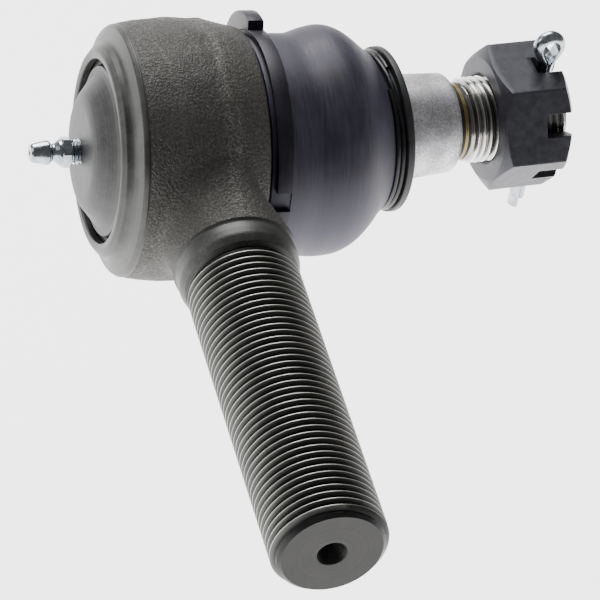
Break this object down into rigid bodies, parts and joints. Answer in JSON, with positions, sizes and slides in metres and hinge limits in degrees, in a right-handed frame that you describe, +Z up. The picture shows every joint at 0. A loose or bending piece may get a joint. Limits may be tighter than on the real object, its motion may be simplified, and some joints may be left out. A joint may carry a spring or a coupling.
{
  "type": "tie rod end",
  "caption": "Greaseable tie rod end: ball stud with castle nut and dust boot in a forged socket with a left-hand threaded shank.",
  "frame": {"origin": "centre of the ball, where the shank's axis meets the socket's axis", "axes": "+X along the socket's axis towards the nut, -Y along the threaded shank, +Z up with the part lying on its side"},
  "size_m": [0.1413, 0.1733, 0.067],
  "materials": {
    "forging": "rough forged, dark phosphate, machined at the lip, collar and thread",
    "bearing": "smooth, greased",
    "spring_steel": "oiled",
    "plug_steel": "pressed, dark phosphate",
    "zinc": "bright zinc",
    "stud_steel": "light phosphate taper, bright thread",
    "boot_rubber": "satin, fine turned streaks",
    "black_steel": "black oxide",
    "collar_plastic": "satin"
  },
  "bodies": {
    "socket": {"housing": "forging", "throat_bearing": "bearing", "preload_spring": "spring_steel", "end_plug": "plug_steel", "grease_fitting": "zinc", "check_spring": "spring_steel", "boot_band": "black_steel"},
    "seat": {"pressure_seat": "bearing"},
    "valve": {"check_ball": "zinc"},
    "boot": {"dust_boot": "boot_rubber"},
    "collar": {"boot_collar": "collar_plastic", "wire_ring": "black_steel"},
    "stud": {"ball_stud": "stud_steel", "castle_nut": "black_steel", "cotter_pin": "zinc"}
  },
  "joints": [
    {"name": "stud_yaw", "type": "hinge", "parent": "socket", "child": "boot", "pos_m": [0, 0, 0], "axis": [0, 0, 1], "range_deg": [-22.4, 13.6], "deforming": ["dust_boot"]},
    {"name": "stud_pitch", "type": "hinge", "parent": "boot", "child": "collar", "pos_m": [0, 0, 0], "axis": [0.0767, -0.9971, 0], "range_deg": [-19.5, 16.5], "deforming": ["dust_boot"]},
    {"name": "stud_spin", "type": "hinge", "parent": "collar", "child": "stud", "pos_m": [0, 0, 0], "axis": [0.9967, 0.0767, 0.0262], "continuous": true},
    {"name": "seat_slide", "type": "slide", "parent": "socket", "child": "seat", "axis": [-1, 0, 0], "range_m": [0, 0.0006], "stiffness_N_per_m": 60000, "springref_m": -0.002, "deforming": ["preload_spring"]},
    {"name": "check_ball_lift", "type": "slide", "parent": "socket", "child": "valve", "axis": [1, 0, 0], "range_m": [0, 0.0009], "stiffness_N_per_m": 300, "springref_m": -0.001, "deforming": ["check_spring"]}
  ]
}
